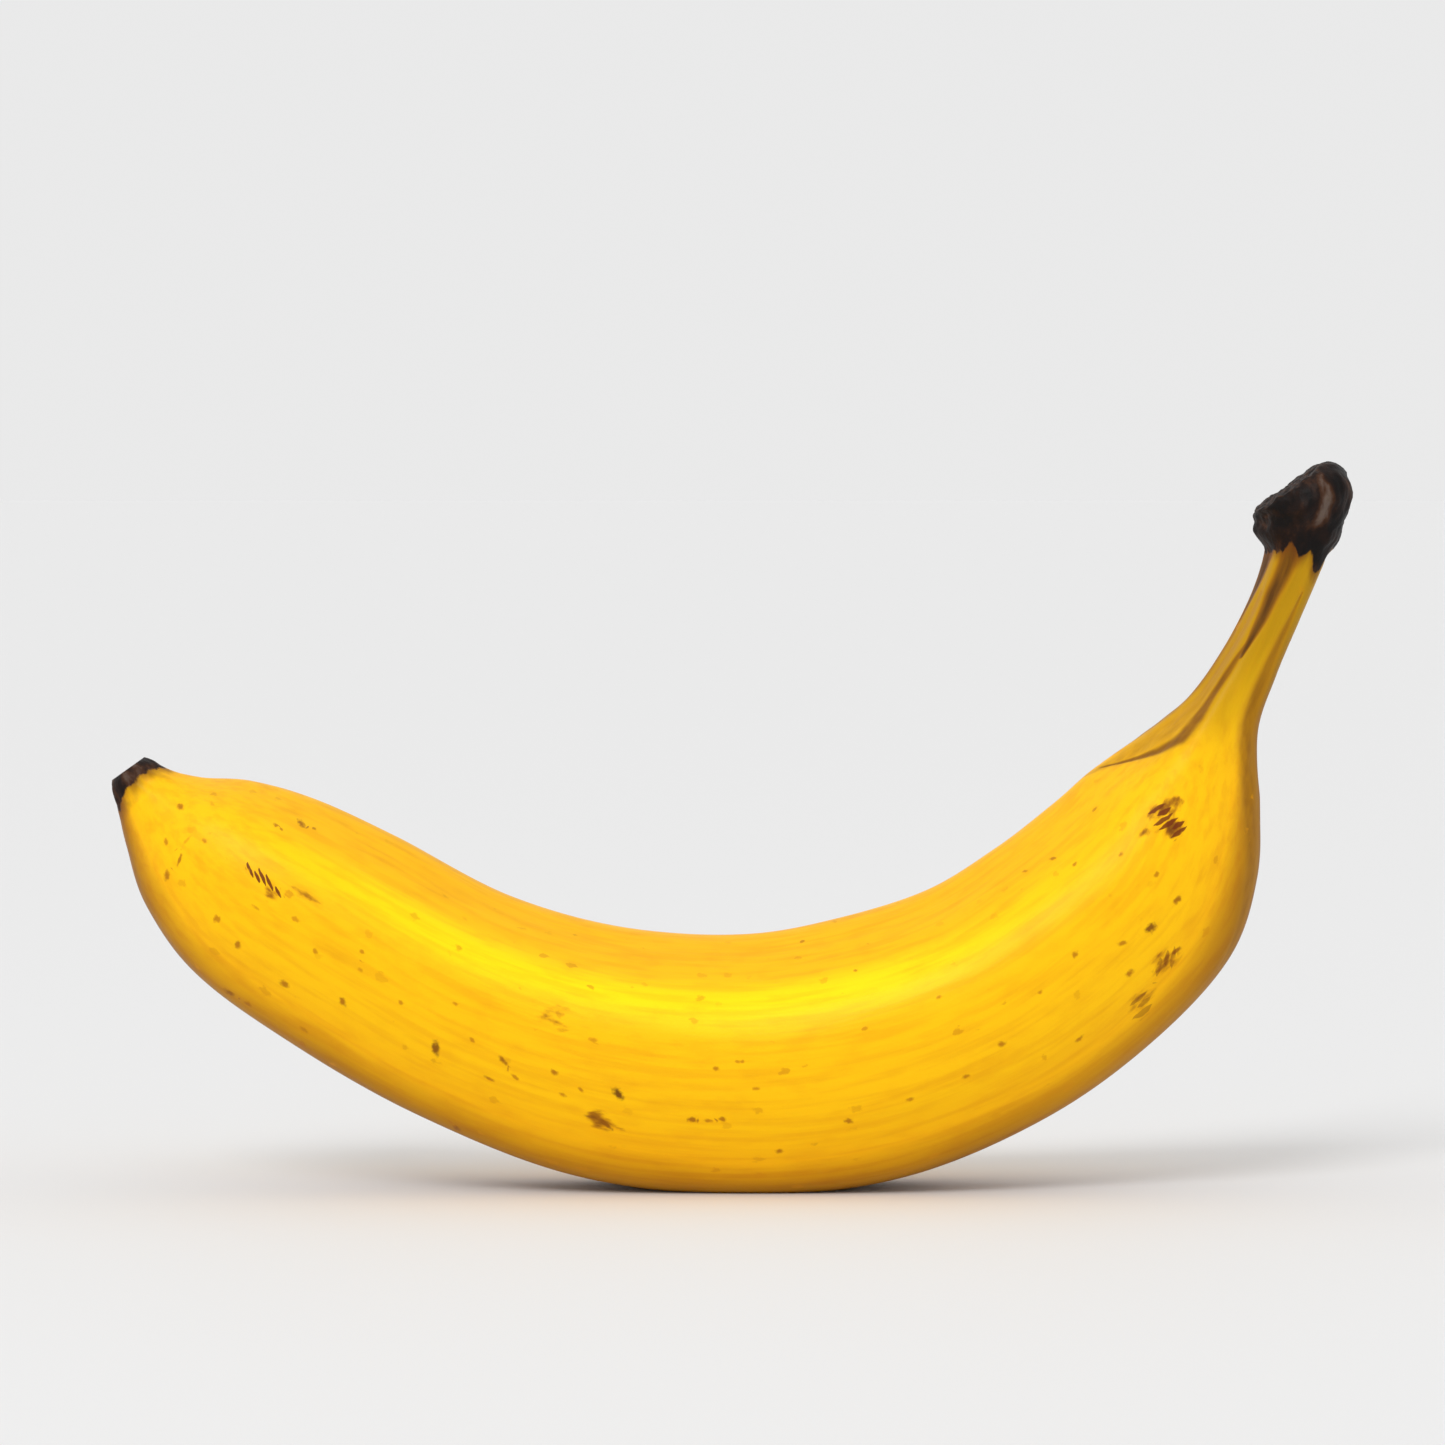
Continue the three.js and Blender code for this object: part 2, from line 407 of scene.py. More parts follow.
# The fine relief: the millimetres that a height of 1 stands for, its strength, and each layer's height or
# depth.
RELIEF_DISTANCE = 0.12
RELIEF_STRENGTH = 0.5
FIBRE_HEIGHT = 0.5
PORE_HEIGHT = 0.35
SPOT_DEPTH = 0.3
SCRATCH_DEPTH = 0.2
WRINKLE_HEIGHT = 4.0

# How far light goes into the peel, in millimetres.
GLOW_DEPTH = 1.2

# The mix node's colour sockets.
FIRST_COLOUR, SECOND_COLOUR, MIXED_COLOUR = 6, 7, 2

# Floor, lights and camera, in metres, watts and degrees. The lamps' places are measured from the middle of
# the fruit, and the camera's target from the middle of its width and from the floor.
FLOOR_HALF = 4.0
SUN_STRENGTH = 1.1  # watts for each square metre
SUN_SIZE = 24.0
SUN_PLACE = Vector((-0.35, -0.80, 0.75))
SHEEN_POWER = 0.5
SHEEN_SIZE = 0.35
SHEEN_PLACE = Vector((-0.12, -0.55, 0.75))
ROOM_STRENGTH = 0.82
CAMERA_DISTANCE = 1.1
CAMERA_ELEVATION = 3.0
FRUIT_SHARE = 0.86  # of the picture's width
TARGET_SIDE = -0.006  # share of the fruit's width
TARGET_HEIGHT = 0.64  # share of the fruit's height


def colour(red, green, blue):
    """A shader's linear colour from the usual 0 to 255 values."""
    def linear(value):
        share = value / 255
        return share / 12.92 if share <= 0.04045 else ((share + 0.055) / 1.055) ** 2.4
    return (linear(red), linear(green), linear(blue), 1.0)


GOLD = colour(252, 194, 0)
# Painted shade: a deeper gold at the edge of the underside's shade and on the inside of the curve.
SHADED_GOLD = colour(248, 184, 0)
STREAK_TINT = (0.88, 0.76, 0.6, 1.0)  # multiplies the peel's colour in its darker streaks
# Painted highlight: the lemon band along the side ridges.
LEMON_HIGHLIGHT = colour(255, 222, 0)
# Painted shade on the outside of the curve: ochre, and a darker ochre where it is deepest underneath.
SHADE_OCHRE = colour(198, 138, 0)
UNDERSIDE_SHADE = colour(158, 106, 0)
STALK_GOLD = colour(192, 144, 0)
STALK_OLIVE = colour(164, 122, 2)
# Painted shade in the creases and on the folds of the neck and stalk, from its palest to its darkest.
FOLD_SHADE_GOLD = colour(184, 128, 0)
FOLD_SHADE_BROWN = colour(140, 90, 0)
CREASE_SHADE_BROWN = colour(88, 52, 2)
STAIN_BROWN = colour(112, 62, 6)
FAINT_MARK = colour(210, 142, 0)
SPECKLE_BROWN = colour(170, 104, 0)
BRUISE_BROWN = colour(140, 84, 4)
SPOT_BROWN = colour(84, 38, 4)
SCRATCH_BROWN = colour(112, 46, 2)
DARK_BROWN = colour(30, 15, 9)
NEAR_BLACK = colour(12, 7, 6)
HUSK_BROWN = colour(64, 38, 22)
DRY_GREY = colour(100, 84, 74)
FLOOR_GREY = colour(229, 229, 229)
WHITE = colour(255, 255, 255)

# Ramps of colour. The body's runs from the painted shade on the outside of the curve to its inside, where a
# deeper gold is painted shade too. Those of the creases' painted shade, bruises and spots run to their
# darkest, and those of the dry husk and its cut to their palest.
BODY_RAMP = [
    (0.02, UNDERSIDE_SHADE), (0.085, SHADE_OCHRE), (0.17, SHADED_GOLD), (0.30, GOLD), (0.70, GOLD), (1.0, SHADED_GOLD),
]
CREASE_SHADE_RAMP = [(0.25, FOLD_SHADE_GOLD), (0.65, FOLD_SHADE_BROWN), (1.0, CREASE_SHADE_BROWN)]
BRUISE_RAMP = [(0.3, FAINT_MARK), (0.7, BRUISE_BROWN), (1.0, SPOT_BROWN)]
SPOT_RAMP = [(0.15, FAINT_MARK), (0.55, SPECKLE_BROWN), (0.95, SPOT_BROWN)]
HUSK_RAMP = [(0.40, NEAR_BLACK), (0.58, DARK_BROWN), (0.72, HUSK_BROWN), (0.90, DRY_GREY)]
CUT_RAMP = [(0.32, NEAR_BLACK), (0.5, DARK_BROWN), (0.66, HUSK_BROWN), (0.85, DRY_GREY)]


# ---- The fruit's shape ----

def sections_at(steps):
    """The values of SECTIONS at fractional positions in its list, on a Catmull-Rom curve through them."""
    first, last = 2 * SECTIONS[0] - SECTIONS[1], 2 * SECTIONS[-1] - SECTIONS[-2]
    padded = np.vstack([first, SECTIONS, last])
    start = np.clip(np.floor(steps).astype(int), 0, len(SECTIONS) - 2)
    share = (steps - start)[:, None]
    a, b, c, d = (padded[start + i] for i in range(4))
    return (
        b
        + 0.5 * (c - a) * share
        + (a - 2.5 * b + 2 * c - 0.5 * d) * share**2
        + (1.5 * (b - c) + 0.5 * (d - a)) * share**3
    )


def ring_places():
    """For each ring: its step through SECTIONS, its spread from 0 to 1, and its place along the fruit."""
    samples = np.linspace(0, len(SECTIONS) - 1, SECTION_SAMPLES * len(SECTIONS))
    middle = sections_at(samples)[:, :2]
    travelled = np.concatenate([[0], np.cumsum(np.linalg.norm(np.diff(middle, axis=0), axis=1))])
    along = np.linspace(0, travelled[-1], round(travelled[-1] / RING_GAP) + 1)
    steps = np.interp(along, travelled, samples)
    inner = np.arange(1, END_RINGS) / END_RINGS
    tip_radius, crown_radius = SECTIONS[0][3], SECTIONS[-1][3]
    return (
        np.concatenate([np.full(END_RINGS - 1, samples[0]), steps, np.full(END_RINGS - 1, samples[-1])]),
        np.concatenate([inner, np.ones(len(along)), inner[::-1]]),
        np.concatenate([(inner - 1) * tip_radius, along, along[-1] + (1 - inner[::-1]) * crown_radius]),
    )


def ridge_wave(angle):
    """1 on the crest of a long ridge, and -1 midway between two."""
    return np.cos(RIDGE_COUNT * (angle + RIDGE_SHIFT * np.sin(2 * angle)))


def smooth_step(value, low, high):
    """0 below low, 1 above high, and a smooth rise between them."""
    share = np.clip((value - low) / (high - low), 0, 1)
    return share * share * (3 - 2 * share)


def swell(points, kind):
    """How far the listed layers of one kind raise each point, in millimetres."""
    total = np.zeros(points.shape[:-1])
    for height, size, stretch in SWELLS[kind]:
        scaled = points / (size * stretch, size, size)
        values = [noise.noise(point) for point in scaled.reshape(-1, 3).tolist()]
        total += height * np.array(values).reshape(total.shape)
    return total


def angle_between(around, other):
    """The shortest turn from one angle to another, in degrees."""
    return (around - other + 180) % 360 - 180


def offset_from(skin, along, around):
    """Millimetres on the skin from a place, along the fruit and around it."""
    sideways = np.radians(angle_between(skin["around"], around)) * skin["radius"]
    return skin["along"] - along, sideways


def turned(forward, sideways, tilt):
    """The same millimetres, in the direction of the tilt and across it."""
    turn = math.radians(tilt)
    return (
        forward * math.cos(turn) + sideways * math.sin(turn),
        sideways * math.cos(turn) - forward * math.sin(turn),
    )


def oval(skin, along, around, length, width, tilt, power):
    """1 in the middle of an oval patch of the skin, and a fade to 0 at its edge."""
    lengthwise, crosswise = turned(*offset_from(skin, along, around), tilt)
    distance = np.hypot(lengthwise / (length / 2), crosswise / (width / 2))
    return np.clip(1 - distance**2, 0, 1) ** power


def press_flat(points, plane_point, plane_normal, rounding, part):
    """Moves what stands above a plane down to it, in one part of the fruit.

    It returns how far each point stood above the plane.
    """
    above = np.where(part, (points - plane_point) @ plane_normal, -FAR_BELOW * rounding)
    pressed = (above - np.sqrt(above**2 + rounding**2)) / 2
    points += (pressed - above)[..., None] * plane_normal
    return above


def skin_layout():
    """The rings of the bare fruit: where each point is in space, on the fruit, and on it straightened."""
    steps, spread, along = ring_places()
    x, z, heading, height, depth, ridges = (column[:, None] for column in sections_at(steps).T)
    angle = np.radians(np.arange(AROUND) * 360 / AROUND)[None, :]
    wave = ridge_wave(angle)
    share = 1 + ridges * (RIDGE_RISE * wave + RIDGE_CREST * (2 * wave**2 - 1))
    spread = spread[:, None]
    inward = spread * share * height * np.cos(angle)
    across = spread * share * depth * np.sin(angle)
    tilt = np.radians(heading)
    points = np.stack([x - inward * np.sin(tilt), -across, z + inward * np.cos(tilt)], axis=-1)
    flat = np.ones_like(across)
    outward = np.stack([
        -np.sin(tilt) * np.cos(angle), -np.sin(angle) * flat, np.cos(tilt) * np.cos(angle)
    ], axis=-1)
    return {
        "points": points,
        "outward": outward,
        "spread": spread * flat,
        "along": along[:, None] * flat,
        "around": angle_between(np.degrees(angle), 0) * flat,
        "radius": (height + depth) / 2 * flat,
        "wave": wave * flat,
        "straight": np.stack([along[:, None] * flat, across, inward], axis=-1),
    }


def bruise_and_highlight_field(skin):
    """How bruised the skin is, from 0 to 1, with the painted highlight on the crown among the bruises."""
    field = np.zeros_like(skin["along"])
    for along, around, length, width, tilt, strength in BRUISES_AND_CROWN_HIGHLIGHT:
        size = (length * BRUISE_SPREAD, width * BRUISE_SPREAD)
        field = np.maximum(field, strength * oval(skin, along, around, *size, tilt, BRUISE_FADE))
    return field


def crease_and_shade_field(skin):
    """The darkness of the painted shade in the creases of the neck and stalk, in the middle of each, and 0
    away from them.
    """
    field = np.zeros_like(skin["along"])
    for darkness, route in SHADED_CREASES:
        places, angles, half_widths = zip(*route)
        middle = np.interp(skin["along"], places, angles)
        half_width = np.interp(skin["along"], places, half_widths, left=NO_WIDTH, right=NO_WIDTH)
        offset = np.abs(np.radians(angle_between(skin["around"], middle))) * skin["radius"]
        field = np.maximum(field, darkness * smooth_step(1 - offset / half_width, 0.0, CREASE_FULL))
    return field


def lump_relief(skin):
    """The listed lumps and hollows of the crown, in millimetres."""
    relief = np.zeros_like(skin["along"])
    for along, around, length, width, height in LUMPS:
        size = (length * LUMP_SPREAD, width * LUMP_SPREAD)
        relief += height * oval(skin, along, around, *size, 0, LUMP_FADE)
    return relief


def raise_relief(skin):
    """The skin's swellings and creases, and the lumps of its two dry ends."""
    straight, along = skin["straight"], skin["along"]
    tip = 1 - smooth_step(along, *TIP_FADE)
    neck = smooth_step(along, *NECK_FADE) * (1 - smooth_step(along, *STALK_END_FADE))
    crown = smooth_step(along, *CROWN_FADE)
    body = smooth_step(along, *BODY_FADE) * (1 - neck) * (1 - crown)
    relief = body * swell(straight, "body")
    relief += neck * (NECK_RIDGE_RISE * skin["wave"] + swell(straight, "neck"))
    relief -= CREASE_DEPTH * crease_and_shade_field(skin) ** 2
    relief += tip * swell(straight, "blossom end")
    relief -= TIP_CHAMFER * np.clip(1 - along / TIP_CHAMFER_LENGTH, 0, 1) ** 2
    relief += lump_relief(skin)
    relief += crown * (HUSK_RISE * smooth_step(dry_field(skin), *HUSK_EDGE) + swell(straight, "crown"))
    relief -= BRUISE_DEPTH * bruise_and_highlight_field(skin)
    skin["points"] += (relief * skin["spread"])[..., None] * skin["outward"]


def soften(points, share, rounds):
    """Moves points towards their neighbours' middle, which rounds off corners where the share is 1."""
    for _ in range(rounds):
        beside = (np.roll(points, 1, axis=1) + np.roll(points, -1, axis=1)) / 2
        middle = beside.copy()
        middle[1:-1] = (beside[1:-1] + (points[2:] + points[:-2]) / 2) / 2
        points += SOFTENING_PULL * share[..., None] * (middle - points)


def tear_crown(skin):
    """The torn face of the crown's cut, and the lumpy skin beside it."""
    points = skin["points"]
    on_crown = smooth_step(skin["along"], *SOFT_CROWN_FADE)
    tilt = math.radians(CUT_TILT)
    normal = np.array((-math.sin(tilt), 0.0, math.cos(tilt)))
    above = press_flat(points, CUT_POINT, normal, CUT_ROUNDING, skin["along"] > CROWN_START)
    skin["cut"] = smooth_step(above, *CUT_EDGE)
    soften(points, on_crown, CROWN_SOFTENING)
    points += (skin["cut"] * swell(points, "crown's cut"))[..., None] * normal
    lumpy = on_crown * (1 - skin["cut"]) * skin["spread"] * swell(points, "crown's side")
    points += lumpy[..., None] * skin["outward"]


def pit_blossom_end(skin):
    """The pitted face of the blossom end."""
    heading = math.radians(SECTIONS[0][2])
    normal = np.array((-math.cos(heading), 0.0, -math.sin(heading)))
    on_face = (skin["along"] < RING_GAP / 2) * smooth_step(1 - skin["spread"], 0.0, PIT_SLOPE)
    pit = on_face * (swell(skin["points"], "pit") - PIT_DEPTH)
    skin["points"] += pit[..., None] * normal


def flatten_rest(skin):
    """The flat place that the fruit rests on."""
    down = np.array((0.0, 0.0, -1.0))
    outer_half = np.abs(skin["around"]) > 90
    press_flat(skin["points"], np.zeros(3), down, REST_ROUNDING, outer_half)


# ---- Marks on the skin, as fields that the material reads ----

def scattered_spots():
    """Spots like the listed ones, scattered over the sides that the list doesn't reach."""
    chance = random.Random(SPOT_SEED)
    spots = []
    for i in range(SCATTERED_SPOTS):
        angles = BACK_ANGLES if i % UNDER_EVERY else UNDER_ANGLES
        ranges = [SCATTERED_ALONG, angles, *SCATTERED_SHAPES]
        spots.append(tuple(chance.uniform(low, high) for low, high in ranges))
    return spots


def nearest_of(skin, marks, reading, reaches):
    """For every point, the reading of the nearest mark: two numbers and a darkness.

    The darkness is 0 where the mark doesn't reach.
    """
    nearest = np.full_like(skin["along"], np.inf)
    fields = np.zeros((*nearest.shape, 3))
    for along, around, *shape, darkness in marks:
        forward, sideways = offset_from(skin, along, around)
        distance = np.hypot(forward, sideways)
        nearer = distance < nearest
        nearest[nearer] = distance[nearer]
        first, second = reading(forward, sideways, *shape)
        darkness_there = np.where(reaches(first, second, *shape), darkness, 0.0)
        fields[nearer] = np.stack([first, second, darkness_there], axis=-1)[nearer]
    return fields


def spot_reading(forward, sideways, length, width, tilt):
    """How far from the middle of a spot, in half lengths and half widths."""
    lengthwise, crosswise = turned(forward, sideways, tilt)
    return lengthwise / (length / 2), crosswise / (width / 2)


def spot_reaches(lengthwise, crosswise, length, width, _tilt):
    return np.hypot(lengthwise * length / 2, crosswise * width / 2) < length / 2 + SPOT_MARGIN


def scratch_reading(forward, sideways, number, gap, row_tilt, length, tilt):
    """A count that rises by one from each scratch to the next, and half lengths from a scratch's middle."""
    row, own = math.radians(row_tilt), math.radians(tilt)
    turn = math.sin(own - row)
    down_row = (forward * math.sin(own) - sideways * math.cos(own)) / turn
    down_scratch = (sideways * math.cos(row) - forward * math.sin(row)) / turn
    return down_row / gap + number / 2, down_scratch / (length / 2)


def scratch_reaches(count, reach, number, *_):
    return (np.abs(count - number / 2) < number / 2) & (np.abs(reach) < SCRATCH_REACH)


def edge_at(edge, around):
    """The place of a dry end's edge at angles around the fruit."""
    angles, places = zip(*edge)
    return np.interp(around, angles, places, period=360)


def dry_field(skin):
    """Millimetres past the ragged edge of the nearer dry, dark end, and negative on the fresh peel."""
    tip = edge_at(TIP_EDGE, skin["around"]) - skin["along"]
    crown = skin["along"] - edge_at(CROWN_EDGE, skin["around"])
    ragged = swell(skin["straight"], "dry edge")
    return np.clip(np.maximum(tip, crown) + ragged, -DRY_LIMIT, DRY_LIMIT)


# ---- The mesh ----

def skin_faces(rings):
    """Quads between neighbouring rings, and a fan of triangles to the point in the middle of each end."""
    first_pole = rings * AROUND
    faces = []
    for column in range(AROUND):
        beside = (column + 1) % AROUND
        faces.append((first_pole, column, beside))
        for ring in range(rings - 1):
            near, far = ring * AROUND, (ring + 1) * AROUND
            faces.append((near + column, far + column, far + beside, near + beside))
        last = (rings - 1) * AROUND
        faces.append((last + column, first_pole + 1, last + beside))
    return faces


def with_poles(values):
    """A field's values in the order of the mesh's points, with those in the middle of the ends last."""
    flat = values.reshape(-1, *values.shape[2:])
    return np.concatenate([flat, [values[0].mean(axis=0)], [values[-1].mean(axis=0)]])


def add_bake_map(mesh, rings):
    """The fruit unrolled: rings from left to right, and the angle around from bottom to top."""
    layer = mesh.uv_layers.new(name="OFBake")
    first_pole = rings * AROUND
    for face in mesh.polygons:
        columns = [v % AROUND for v in face.vertices if v < first_pole]
        wraps = 0 in columns and AROUND - 1 in columns
        heights = [AROUND if wraps and column == 0 else column for column in columns]
        for loop in face.loop_indices:
            vertex = mesh.loops[loop].vertex_index
            if vertex < first_pole:
                column = vertex % AROUND
                place = (vertex // AROUND + 1, AROUND if wraps and column == 0 else column)
            else:
                place = (0 if vertex == first_pole else rings + 1, sum(heights) / len(heights))
            layer.data[loop].uv = (place[0] / (rings + 1), place[1] / AROUND)


def add_field(mesh, name, values):
    attribute = mesh.attributes.new(name, "FLOAT", "POINT")
    attribute.data.foreach_set("value", with_poles(values).astype(np.float32))


def add_vector_field(mesh, name, values):
    attribute = mesh.attributes.new(name, "FLOAT_VECTOR", "POINT")
    attribute.data.foreach_set("vector", with_poles(values).astype(np.float32).ravel())


def make_banana():
    spots = SPOTS + scattered_spots()
    skin = skin_layout()
    raise_relief(skin)
    tear_crown(skin)
    pit_blossom_end(skin)
    flatten_rest(skin)
    rings = len(skin["points"])
    mesh = bpy.data.meshes.new("whole_banana")
    mesh.from_pydata((with_poles(skin["points"]) * UNIT).tolist(), [], skin_faces(rings))
    mesh.shade_smooth()
    add_bake_map(mesh, rings)
    add_vector_field(mesh, "straight", skin["straight"])
    add_field(mesh, "inside", np.cos(np.radians(skin["around"])))
    add_field(mesh, "crease", crease_and_shade_field(skin))
    add_vector_field(mesh, "spot", nearest_of(skin, spots, spot_reading, spot_reaches))
    add_vector_field(mesh, "scratch", nearest_of(skin, SCRATCHES, scratch_reading, scratch_reaches))
    add_field(mesh, "bruise", bruise_and_highlight_field(skin))
    add_field(mesh, "dry", dry_field(skin))
    add_field(mesh, "cut", skin["cut"])
    return bpy.data.objects.new("whole_banana", mesh)


# ---- The peel's material ----

class Nodes:
    """A material's node tree, with one short call for each kind of node that the peel uses."""

    def __init__(self, material):
        material.use_nodes = True
        self.tree = material.node_tree
        self.shader = self.tree.nodes["Principled BSDF"]

    def add(self, kind, inputs, **settings):
        made = self.tree.nodes.new(kind)
        for name, value in settings.items():
            setattr(made, name, value)
        for name, value in inputs.items():
            self.put(made.inputs[name], value)
        return made

    def put(self, socket, value):
        """Links an output to the socket, or sets a plain value on it."""
        if isinstance(value, bpy.types.NodeSocket):
            self.tree.links.new(value, socket)
        else:
            socket.default_value = value

    def field(self, name):
        return self.add("ShaderNodeAttribute", {}, attribute_name=name).outputs["Fac"]

    def vector_field(self, name):
        """The three numbers of a field."""
        place = self.add("ShaderNodeAttribute", {}, attribute_name=name).outputs["Vector"]
        return self.add("ShaderNodeSeparateXYZ", {"Vector": place}).outputs

    def straight(self, stretch):
        """Place on the straightened fruit, squeezed along it so that a texture there is stretched."""
        place = self.add("ShaderNodeAttribute", {}, attribute_name="straight").outputs["Vector"]
        squeeze = (1 / stretch, 1, 1)
        return self.add("ShaderNodeVectorMath", {0: place, 1: squeeze}, operation="MULTIPLY").outputs[0]

    def noise(self, texture):
        """One of the listed textures, from 0 to 1."""
        size, stretch, detail = TEXTURES[texture]
        inputs = {"Vector": self.straight(stretch), "Scale": 1 / size, "Detail": detail}
        return self.add("ShaderNodeTexNoise", inputs).outputs["Fac"]

    def ragged(self, texture):
        """One of the listed textures, as a swing around 0."""
        return self.centred(self.noise(texture), RAGGED[texture])

    def cells(self, size, stretch):
        inputs = {"Vector": self.straight(stretch), "Scale": 1 / size}
        return self.add("ShaderNodeTexVoronoi", inputs)

    def math(self, operation, first, second=0.0):
        return self.add("ShaderNodeMath", {0: first, 1: second}, operation=operation).outputs[0]

    def plus(self, first, second):
        return self.math("ADD", first, second)

    def minus(self, first, second):
        return self.math("SUBTRACT", first, second)

    def times(self, first, second):
        return self.math("MULTIPLY", first, second)

    def centred(self, value, swing):
        """A value from 0 to 1, as one around 0 that is a swing from its lowest to its highest."""
        return self.times(self.minus(value, 0.5), swing)

    def between(self, value, low, high):
        """A value from 0 to 1, as one from low to high."""
        return self.plus(low, self.times(value, high - low))

    def step(self, value, low, high):
        """0 at low, 1 at high, and a smooth change between them."""
        inputs = {"Value": value, "From Min": low, "From Max": high}
        made = self.add("ShaderNodeMapRange", inputs, interpolation_type="SMOOTHSTEP")
        return made.outputs["Result"]

    def step_linear(self, value, low, high):
        inputs = {"Value": value, "From Min": low, "From Max": high}
        return self.add("ShaderNodeMapRange", inputs).outputs["Result"]

    def mix(self, share, first, second, blend="MIX"):
        inputs = {"Factor": share, FIRST_COLOUR: first, SECOND_COLOUR: second}
        made = self.add("ShaderNodeMix", inputs, data_type="RGBA", blend_type=blend)
        return made.outputs[MIXED_COLOUR]

    def ramp(self, value, stops):
        made = self.add("ShaderNodeValToRGB", {"Fac": value})
        elements = made.color_ramp.elements
        while len(elements) < len(stops):
            elements.new(0.5)
        for element, (place, tint) in zip(elements, stops):
            element.position = place
            element.color = tint
        return made.outputs["Color"]


def body_colour(nodes):
    """Golden peel, with a painted lemon highlight on the side ridges and painted ochre shade outside the
    curve.
    """
    along = nodes.vector_field("straight")[0]
    inside = nodes.plus(nodes.field("inside"), nodes.ragged("shading"))
    # The painted shade of the underside climbs higher up the sides near the tip and the neck.
    near_tip = nodes.times(nodes.step(along, *TIP_SHADE), TIP_SHADE_RISE)
    near_neck = nodes.times(nodes.step(along, *NECK_SHADE), NECK_SHADE_RISE)
    lowered = nodes.minus(nodes.minus(inside, near_tip), near_neck)
    # The ramp paints shade: ochre on the outside of the curve, a deeper gold beside it and on the inside of
    # the curve.
    body = nodes.ramp(nodes.step_linear(lowered, -1.0, 1.0), BODY_RAMP)
    # A lemon band painted along the side ridges as their highlight, from near the tip to the neck.
    band = nodes.times(nodes.step(inside, *HIGHLIGHT_OUTER_SIDE), nodes.step(inside, *HIGHLIGHT_INNER_SIDE))
    reach = nodes.times(nodes.step(along, *HIGHLIGHT_START), nodes.step(along, *HIGHLIGHT_END))
    return nodes.mix(nodes.times(band, reach), body, LEMON_HIGHLIGHT)


def with_streaks(nodes, base):
    """Fine darker streaks along the peel, and a soft mottle."""
    streaks = nodes.step(nodes.noise("streaks"), *STREAK_EDGE)
    base = nodes.mix(nodes.times(streaks, STREAK_STRENGTH), base, STREAK_TINT, "MULTIPLY")
    mottle = nodes.step(nodes.noise("mottle"), *MOTTLE_EDGE)
    return nodes.mix(nodes.times(mottle, MOTTLE_STRENGTH), base, STREAK_TINT, "MULTIPLY")


def with_stalk(nodes, base):
    """Duller olive gold on the stalk, which starts unevenly, and lower on the inside of the curve."""
    along = nodes.vector_field("straight")[0]
    wavering = nodes.plus(along, nodes.times(nodes.noise("stalk's edge"), STALK_RAGGED))
    wavering = nodes.plus(wavering, nodes.times(nodes.field("inside"), STALK_LEAN))
    stalk = nodes.mix(nodes.noise("stalk"), STALK_OLIVE, STALK_GOLD)
    share = nodes.times(nodes.step(wavering, *STALK_COLOURED), STALK_STRENGTH)
    return nodes.mix(share, base, stalk)


def with_crease_shade(nodes, base):
    """Painted shade in the creases and on the folds of the neck and stalk, darkest in their middle and
    uneven along them.
    """
    uneven = nodes.between(nodes.noise("creases"), *CREASE_SHADE_UNEVENNESS)
    field = nodes.times(nodes.field("crease"), uneven)
    return nodes.mix(nodes.step(field, *CREASE_SHADE_EDGE), base, nodes.ramp(field, CREASE_SHADE_RAMP))


def with_flecks(nodes, base):
    """Faint small flecks, one in most of the cells of a scattered grid."""
    cells = nodes.cells(*FLECK_CELLS)
    pick = nodes.add("ShaderNodeSeparateColor", {"Color": cells.outputs["Color"]})
    radius = nodes.times(nodes.step(pick.outputs["Red"], *FLECK_CHANCE), FLECK_RADIUS)
    ragged = nodes.plus(radius, nodes.ragged("flecks' edges"))
    fleck = nodes.step(nodes.minus(ragged, cells.outputs["Distance"]), *FLECK_EDGE)
    strength = nodes.between(pick.outputs["Green"], *FLECK_STRENGTHS)
    return nodes.mix(nodes.times(fleck, strength), base, FAINT_MARK)


def with_bruises(nodes, base):
    """Soft patches, faint at their edges and darker in the middle, that break up along the fibres."""
    bruise = nodes.field("bruise")
    field = nodes.plus(bruise, nodes.ragged("bruises"))
    share = nodes.times(nodes.step(field, *BRUISE_EDGE), nodes.step(bruise, *BRUISE_OUTSKIRTS))
    return nodes.mix(share, base, nodes.ramp(field, BRUISE_RAMP))


def spot_share(nodes):
    """1 in the middle of each spot, and a soft, ragged fade to 0 round its edge."""
    lengthwise, crosswise = nodes.vector_field("spot")[:2]
    squares = nodes.plus(nodes.times(lengthwise, lengthwise), nodes.times(crosswise, crosswise))
    distance = nodes.minus(nodes.math("SQRT", squares), nodes.ragged("spots' edges"))
    return nodes.step(distance, *SPOT_EDGE)


def with_spots(nodes, base):
    """Spots from faint ochre to dark brown."""
    darkness = nodes.vector_field("spot")[2]
    share = nodes.times(spot_share(nodes), nodes.step(darkness, *FAINTEST_SPOTS))
    return nodes.mix(nodes.times(share, SPOT_STRENGTH), base, nodes.ramp(darkness, SPOT_RAMP))


